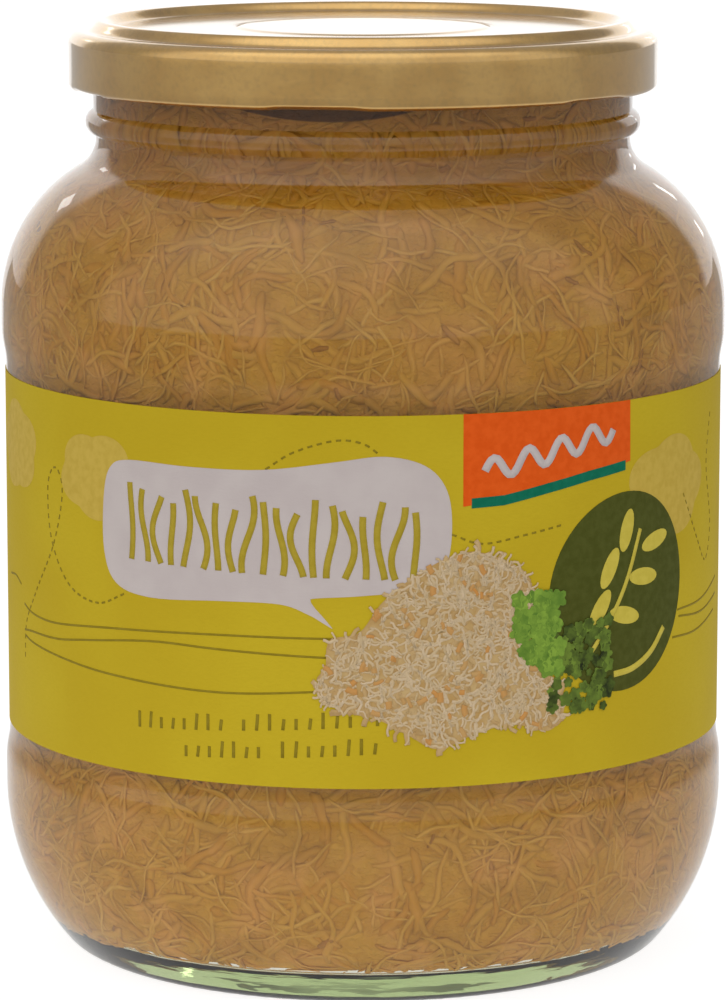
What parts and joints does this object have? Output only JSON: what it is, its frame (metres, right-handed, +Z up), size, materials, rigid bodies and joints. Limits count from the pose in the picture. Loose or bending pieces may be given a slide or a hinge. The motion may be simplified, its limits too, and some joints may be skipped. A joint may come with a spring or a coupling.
{
  "type": "sauerkraut jar",
  "caption": "Clear glass jar of sauerkraut with a gold twist-off lid, a recessed label panel and a yellow-green paper label wrapped round it.",
  "frame": {"origin": "centre of the ring the jar stands on, at the ground", "axes": "+Z up along the jar's axis, -Y towards the front of the label, +X to the viewer's right"},
  "size_m": [0.1058, 0.1056, 0.1356],
  "materials": {
    "clear_glass": "clear, polished, faint green tint",
    "sauerkraut": "wet shredded cabbage in brine",
    "gold_lacquer": "satin gold lacquer on tinplate",
    "label_paper": "satin printed paper"
  },
  "bodies": {
    "root": {"jar": "clear_glass", "sauerkraut": "sauerkraut", "lid": "gold_lacquer", "label": "label_paper"}
  },
  "joints": []
}
